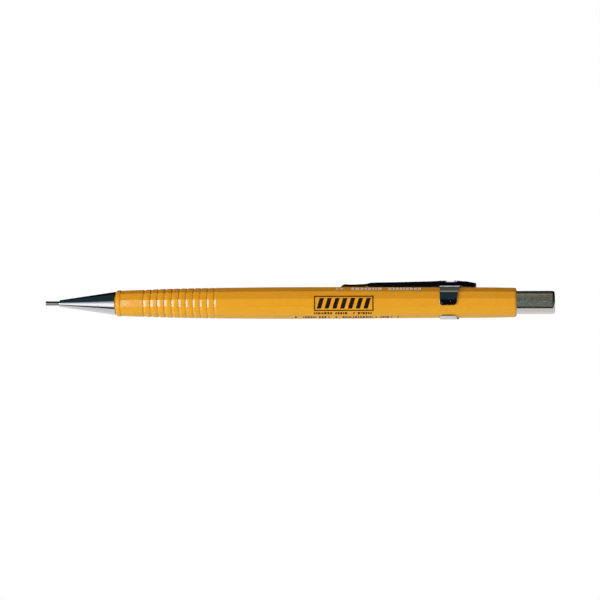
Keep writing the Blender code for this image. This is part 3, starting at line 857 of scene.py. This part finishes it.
def build_leads():
    material = graphite()
    leads = [("writing_lead", "lead", "lead_in_use")]
    spares = sorted(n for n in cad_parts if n.startswith("spare_lead_"))
    leads += [(n, "push_rod", n.replace("spare_lead", "lead_spare")) for n in spares]
    for node, body, name in leads:
        low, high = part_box(node)
        across = (low + high) / 2
        front, rear = extent(node)[:2]
        edge = 0.05
        outline = rounded([(front, 0.0), (front, LEAD_RADIUS, edge),
                           (rear, LEAD_RADIUS, edge), (rear, 0.0)], 3)
        form = bmesh.new()
        turn(form, outline, 24)
        shift = (AXIS_Z - across.z, across.y - AXIS_Y, 0)
        bmesh.ops.translate(form, verts=form.verts, vec=shift)
        show(finish_mesh(form, name), body, node, material)


# ---- Rear end ------------------------------------------------------------------------
def build_eraser_holder():
    """A cup with a groove round it and a plug that fits the reservoir."""
    front, rear, outer = extent("eraser_holder")
    cup, plug, pin_room = 2.42, 1.84, 1.44
    floor, shelf = 58.6, 57.95
    bead, bead_half, bead_depth = rear - 1.35, 0.15, 0.1
    outline = rounded([
        (rear, cup), (rear, outer, 0.15), (bead + bead_half, outer),
        (bead, outer - bead_depth, 0.08), (bead - bead_half, outer),
        (shelf, outer, 0.15), (shelf, plug, 0.1), (front, plug, 0.15), (front, pin_room),
        (floor, pin_room), (floor, cup)], 4)
    turned_piece("holder_cup", outline, "push_rod", "eraser_holder",
                 satin_steel("holder_steel"), 64)


def build_eraser():
    """The eraser, and the pin in it that clears the lead pipe."""
    front, rear, outer = extent("eraser")
    hole, hole_end = 0.34, 61.2
    outline = rounded([(rear, 0.0), (rear, outer, 0.5), (front, outer, 0.1), (front, hole),
                       (hole_end, hole), (hole_end, 0.0)])
    turned_piece("eraser_plug", outline, "eraser", "eraser",
                 eraser_rubber(), 64, False)

    front, rear, wire = extent("cleaning_pin")
    point = 0.5
    outline = [(front, 0.0), (front + point, wire), (rear, wire), (rear, 0.0)]
    turned_piece("pin_wire", outline, "eraser", "cleaning_pin",
                 drawn_steel("pin_steel"), 24, False)


def build_push_cap():
    bore, edge, roof = 2.92, 0.73, 0.8
    outline = rounded([(CAP_END, 0.0), (CAP_END, CAP_RADIUS, edge), (CAP_FRONT, CAP_RADIUS, 0.1),
                       (CAP_FRONT, bore, 0.06), (CAP_END - roof, bore, 0.5), (CAP_END - roof, 0.0)], 8)
    turned_piece("cap_shell", outline, "cap", "push_cap",
                 satin_steel("satin_steel"), 128, False)


# ---- Pocket clip ---------------------------------------------------------------------
def arm_section(z):
    """The inside of the arm from its middle to its lower edge, as (x, y) points."""
    width, top, low = (smooth(ARM, z, k) for k in (1, 2, 3))
    x, y = width - SHEET, top - SHEET
    bend = min(ARM_BEND, (y - low) * 0.5)
    wall = y - bend - low
    points = [(x * share - bend * share, y) for share in (0, 0.2, 0.4, 0.6, 0.8, 0.93)]
    for k in range(7):
        angle = radians(15 * k)
        points.append((x - bend + bend * sin(angle), y - bend + bend * cos(angle)))
    points += [(x, y - bend - wall * share) for share in (0.02, 0.15, 0.3, 0.45, 0.6, 0.8, 0.98, 1.0)]
    hump = max(0.0, 1 - ((z - (EAR_FRONT + EAR_REAR) / 2) / HUMP_HALF_LENGTH) ** 2) ** 0.8
    middle = low + (y - low) * 0.35

    def leaned(px, py):
        """The walls lean in towards the back, and on the hump their upper part leans in more."""
        upper = max(0.0, (py - middle) / (y - middle))
        inward = HUMP_LEAN * hump * upper ** 2 + WALL_LEAN / (y - low) * (py - low)
        return px - inward * min(1.0, px / x), py

    return [leaned(px, py) for px, py in points]


def ear_path():
    """The inside of an ear, from the arm's lower edge to its end, as even (x, y, distance) points."""
    x = BAND_WIDTH - SHEET
    foot_y = (EAR_INSIDE - x * sin(FACET_TURN)) / cos(FACET_TURN)

    def on_flats(angle, flat):
        """Where a ray at an angle from the clip's back meets a flat; both in degrees."""
        reach = EAR_INSIDE / cos(radians(angle - flat))
        return reach * sin(radians(angle)), reach * cos(radians(angle))

    corners = [(x, smooth(ARM, EAR_FRONT, 3)), (x, foot_y, 0.25), (*on_flats(45, 30), EAR_FIRST_FOLD)]
    corners += [(*on_flats(angle, angle - 15), EAR_FOLD) for angle in (75, 105, 135)]
    corners.append(on_flats(EAR_END_ANGLE, 150))
    path = rounded(corners)
    lengths = [0.0]
    for (ax, ay), (bx, by) in zip(path, path[1:]):
        lengths.append(lengths[-1] + hypot(bx - ax, by - ay))
    foot = corners[0][1] - foot_y
    step, rim = 0.12, 0.06
    even = []
    for s in steps_between(0.0, lengths[-1] - rim, step) + [lengths[-1]]:
        k = next(i for i in range(len(lengths) - 1) if s <= lengths[i + 1] + TINY)
        share = (s - lengths[k]) / (lengths[k + 1] - lengths[k])
        even.append((path[k][0] + (path[k + 1][0] - path[k][0]) * share,
                     path[k][1] + (path[k + 1][1] - path[k][1]) * share, s))
    return even, foot


def ear_edges(s, foot, total):
    """Where an ear's front and rear edges lie along the pencil, s mm from the arm's lower edge."""
    front = EAR_FRONT + EAR_FRONT_SLANT * max(0.0, s - foot)
    rear = EAR_REAR - EAR_REAR_SLANT * max(0.0, s - foot)
    if s < EAR_ROOT:
        flare = EAR_ROOT - sqrt(EAR_ROOT ** 2 - (EAR_ROOT - s) ** 2)
        front, rear = front - flare, rear + flare
    for_front, for_rear = s - total + EAR_FRONT_CORNER, s - total + EAR_REAR_CORNER
    if for_front > 0:
        front += EAR_FRONT_CORNER - sqrt(max(0.0, EAR_FRONT_CORNER ** 2 - for_front ** 2))
    if for_rear > 0:
        rear -= EAR_REAR_CORNER - sqrt(max(0.0, EAR_REAR_CORNER ** 2 - for_rear ** 2))
    return front, rear


def build_pocket_clip():
    """A pressed sheet: the arm with its hump and two ears that wrap the barrel.

    The rows of the arm lie close together where it changes shape: at the front lip, at the step
    down to its full depth, in the band that the ears grow from, and at the tail.
    """
    path, foot = ear_path()
    total = path[-1][2]
    band_front, band_rear = ear_edges(0.0, foot, total)
    rim = 0.06
    band = [band_front] + steps_between(band_front + rim, band_rear - rim, 0.3) + [band_rear]
    places = [CLIP_FRONT + SHEET * 0.4]
    stretches = [(12.0, 13.0, 0.2), (13.4, 18.4, 0.5), (18.7, 20.5, 0.2), (21.0, band_front - 0.4, 0.6)]
    for low, high, step in stretches:
        places += steps_between(low, high, step)
    first_band = len(places)
    places += band + steps_between(band_rear + 0.2, 49.0, 0.3) + [49.2, 49.4, 49.6, 49.75, 49.88]
    form = bmesh.new()
    rows = [ring(form, arm_section(z), z) for z in places]
    bridge_all(form, rows, closed=False)
    above = [row[-1] for row in rows[first_band:first_band + len(band)]]
    shares = [(z - band_front) / (band_rear - band_front) for z in band]
    for x, y, s in path[1:]:
        front, rear = ear_edges(s, foot, total)
        below = [form.verts.new((x * MM, y * MM, (front + (rear - front) * t) * MM)) for t in shares]
        bridge(form, above, below, closed=False)
        above = below
    bmesh.ops.recalc_face_normals(form, faces=form.faces)
    back = max(form.faces, key=lambda f: f.calc_center_median().y)
    if back.normal.y < 0:
        bmesh.ops.reverse_faces(form, faces=form.faces)
    mesh = to_mesh(form, "clip_pressing")
    mesh.polygons.foreach_set("use_smooth", [True] * len(mesh.polygons))
    clip = show(mesh, "clip", "pocket_clip", pressed_chrome())
    modify(clip, "other_side", "MIRROR", merge_threshold=0.001 * MM)
    modify(clip, "sheet_thickness", "SOLIDIFY", thickness=SHEET * MM, offset=1.0, use_even_offset=True)
    modify(clip, "soft_edges", "BEVEL", width=SHEET_EDGE * MM, segments=2, limit_method="ANGLE",
           angle_limit=radians(60))
    modify(clip, "flat_faces", "WEIGHTED_NORMAL", weight=80)


# ---- Studio --------------------------------------------------------------------------
CAMERA_AZIMUTH = radians(4)
CAMERA_ELEVATION = radians(30)
CAMERA_ROLL = radians(-2.14)
CAMERA_DISTANCE = 850.0
# how wide the picture is at the pencil
FIELD = 169.7
SENSOR = 36.0
AIM_ALONG = 0.30
AIM_ABOVE_AXIS = 0.84
LAMP_DISTANCE = 1.0
ROOM = 4.0


def build_camera():
    """The photograph's view: from 30 degrees above and a little towards the cap, with a long lens."""
    camera = bpy.data.cameras.new("camera")
    camera.sensor_width = SENSOR
    camera.lens = CAMERA_DISTANCE * SENSOR / FIELD
    camera.clip_end = 20.0
    made = add_object("camera", camera)
    turned = Matrix.Rotation(CAMERA_AZIMUTH, 3, "Z")
    back = turned @ Vector((0, -cos(CAMERA_ELEVATION), sin(CAMERA_ELEVATION)))
    up = turned @ Vector((0, sin(CAMERA_ELEVATION), cos(CAMERA_ELEVATION)))
    target = Vector((AIM_ALONG * MM, AXIS_Y, AXIS_Z)) + up * AIM_ABOVE_AXIS * MM
    made.location = target + back * CAMERA_DISTANCE * MM
    made.rotation_mode = "QUATERNION"
    level = (-back).to_track_quat("-Z", "Y")
    made.rotation_quaternion = level @ Quaternion((0, 0, 1), CAMERA_ROLL)
    bpy.context.scene.camera = made


def glow(name, strength):
    """A plain pale material for the floor and the sky, which gives its own light."""
    made = bpy.data.materials.new(name)
    made.use_nodes = True
    made.node_tree.nodes.clear()
    graph = Graph(made.node_tree)
    light = graph.node("ShaderNodeEmission", {"Color": (1, 1, 1, 1), "Strength": strength})
    graph.node("ShaderNodeOutputMaterial", {"Surface": light.outputs[0]})
    return made


def add_stage(name, form, material, seen_by):
    """A stage mesh that only the named kinds of ray meet."""
    mesh = to_mesh(form, name)
    mesh.materials.append(material)
    made = add_object(name, mesh)
    for kind in ("camera", "diffuse", "glossy", "transmission", "volume_scatter", "shadow"):
        setattr(made, "visible_" + kind, kind in seen_by)


def build_stage():
    """A white floor and sky for the camera, and a card under the pencil that throws light up."""
    floor = bmesh.new()
    bmesh.ops.create_circle(floor, cap_ends=True, segments=64, radius=ROOM)
    add_stage("floor", floor, glow("floor_white", 1.0), ("camera",))
    sky = bmesh.new()
    bmesh.ops.create_uvsphere(sky, u_segments=64, v_segments=32, radius=ROOM)
    add_stage("backdrop", sky, glow("backdrop_white", 1.0), ("camera",))
    card = bmesh.new()
    bmesh.ops.create_circle(card, cap_ends=True, segments=48, radius=ROOM / 4)
    bmesh.ops.translate(card, verts=card.verts, vec=(0, 0, -0.5 * MM))
    add_stage("floor_bounce", card, glow("floor_light", 0.65), ("diffuse", "transmission"))


def add_lamp(name, azimuth, elevation, width, height, watts, colour=(1, 1, 1)):
    """A soft box. It gives light but no reflection, because the world holds what metal reflects."""
    lamp = bpy.data.lights.new(name, "AREA")
    lamp.shape = "RECTANGLE"
    lamp.size, lamp.size_y = width, height
    lamp.energy = watts
    lamp.color = colour
    made = add_object(name, lamp)
    a, e = radians(azimuth), radians(elevation)
    out = Vector((sin(a) * cos(e), -cos(a) * cos(e), sin(e)))
    made.location = out * LAMP_DISTANCE
    made.rotation_mode = "QUATERNION"
    made.rotation_quaternion = (-out).to_track_quat("-Z", "Y")
    made.visible_glossy = False


def build_lamps():
    """Five soft boxes. The overhead one is a little pink, so that the upper facets are redder."""
    add_lamp("front_left", -58, 15, 0.35, 0.35, 5.9)
    add_lamp("front_right", 25, 15, 0.7, 0.4, 1.7)
    add_lamp("overhead", -10, 47, 0.7, 0.4, 5.1, (1.0, 0.62, 0.85))
    add_lamp("rear_top", 180, 15, 1.2, 0.3, 0.9)
    add_lamp("rear_low", 180, -12, 1.2, 0.3, 5.0)


def around(angle):
    """A place on the sky's ramps: the angle goes up from the front, over the top and to the back."""
    return (angle + 180) / 360


def build_world():
    """What metal and gloss reflect: bright windows to the left, dark round the camera, pale below."""
    world = bpy.data.worlds.new("studio")
    bpy.context.scene.world = world
    world.use_nodes = True
    world.node_tree.nodes.clear()
    graph = Graph(world.node_tree)
    direction = graph.node("ShaderNodeTexCoord").outputs["Generated"]
    parts = graph.node("ShaderNodeSeparateXYZ", {0: direction}).outputs
    front = graph.times(parts[1], -1.0)
    height = graph.math("ARCTAN2", parts[2], front)
    place = graph.math("MULTIPLY_ADD", height, 1 / (2 * pi), 0.5)
    floor, pale, shadow = (0.60, 0.585, 0.57), (0.72, 0.69, 0.70), (0.010, 0.012, 0.014)
    teal, beige, black = (0.014, 0.028, 0.036), (0.30, 0.24, 0.16), (0.003, 0.003, 0.004)
    grey, hole, haze = (0.062, 0.07, 0.062), (0.003, 0.003, 0.003), (0.185, 0.195, 0.162)
    white, lavender, dim = (1.0, 1.0, 1.03), (0.55, 0.55, 0.63), (0.3, 0.3, 0.34)
    patch, cool = (1.0, 0.97, 1.05), (0.45, 0.8, 1.0)
    soft_glow, bright_glow, dusk_share = 4.6, 10.0, 0.45

    def bands(behind, *stops):
        """A ramp all the way round, with the part below the horizon always the same but for behind,
        which is just under the horizon at the back."""
        low = [(-180, behind), (-172, behind), (-168, black), (-140, black), (-130, pale), (-95, pale),
               (-70, floor), (-34, floor), (-29, shadow)]
        return graph.ramp(place, [(around(angle), colour) for angle, colour in low + list(stops)])

    def zone(value, outer_low, inner_low, inner_high, outer_high):
        """1 between the inner places and 0 outside the outer ones."""
        return graph.times(graph.smooth_step(value, outer_low, inner_low),
                           graph.smooth_step(value, outer_high, inner_high))

    left = bands(black, (-14, shadow), (-11, dim), (0, white), (22, white), (36, lavender), (46, dim),
                 (57, teal), (134, teal), (138, black), (180, black))
    over = [(-14, shadow), (-6, hole), (37, hole), (45, teal), (91.5, teal), (95, beige), (116, beige),
            (120, grey), (151.5, grey), (153, black)]
    middle = bands(black, *over, (180, black))
    over_clip = bands(patch, *over, (162, black), (164, patch), (180, patch))
    over_cap = bands(black, (-15, shadow), (-8, haze), (97, haze), (104, shadow), (107, beige),
                     (124, beige), (130, grey), (145, grey), (151, black), (180, black))
    right = bands(black, (-17, shadow), (-14, grey), (44, grey), (48, teal), (134, teal), (138, black),
                  (180, black))
    leftward = graph.times(parts[0], -1.0)
    middle = graph.mix(zone(leftward, 0.002, 0.0055, 0.0145, 0.018), middle, over_clip)
    middle = graph.mix(graph.smooth_step(parts[0], -0.003, 0.005), middle, over_cap)
    to_right = graph.smooth_step(parts[0], 0.14, 0.3)
    colour = graph.mix(to_right, graph.mix(graph.smooth_step(leftward, 0.1, 0.17), middle, left), right)

    # two bright windows to the left, at the camera's height, and a darker right end
    strip = zone(height, radians(12), radians(18), radians(36), radians(41))
    soft = graph.times(zone(leftward, 0.168, 0.205, 0.24, 0.28), strip)
    bright = graph.times(zone(leftward, 0.48, 0.54, 0.78, 0.85), strip)
    colour = graph.mix(graph.math("ADD", soft, bright), colour, (*cool, 1.0))
    strength = graph.math("MULTIPLY_ADD", bright, bright_glow, 1.0)
    strength = graph.math("MULTIPLY_ADD", soft, soft_glow, strength)
    rightmost = graph.smooth_step(parts[0], 0.016, 0.026)
    dusk = graph.times(rightmost, graph.smooth_step(height, -0.1, 0.1))
    strength = graph.times(strength, graph.math("MULTIPLY_ADD", dusk, -dusk_share, 1.0))

    # metal doesn't throw the sky's light on to the plastic
    bounces = graph.node("ShaderNodeLightPath").outputs["Diffuse Depth"]
    strength = graph.times(strength, graph.math("LESS_THAN", bounces, 0.5))
    sky = graph.node("ShaderNodeBackground", {"Color": colour, "Strength": strength})
    graph.node("ShaderNodeOutputWorld", {"Surface": sky.outputs[0]})
    world.cycles_visibility.diffuse = False
    bpy.context.scene.view_settings.view_transform = "Standard"


# ---- Assembly ------------------------------------------------------------------------
build_camera()
build_stage()
build_lamps()
build_world()
build_barrel()
build_print()
build_nose_cone()
build_lead_pipe()
build_lead_retainer()
build_chuck()
build_clutch_ring()
build_clutch_sleeve()
build_return_spring()
build_connector()
build_reservoir()
build_leads()
build_eraser_holder()
build_eraser()
build_push_cap()
build_pocket_clip()
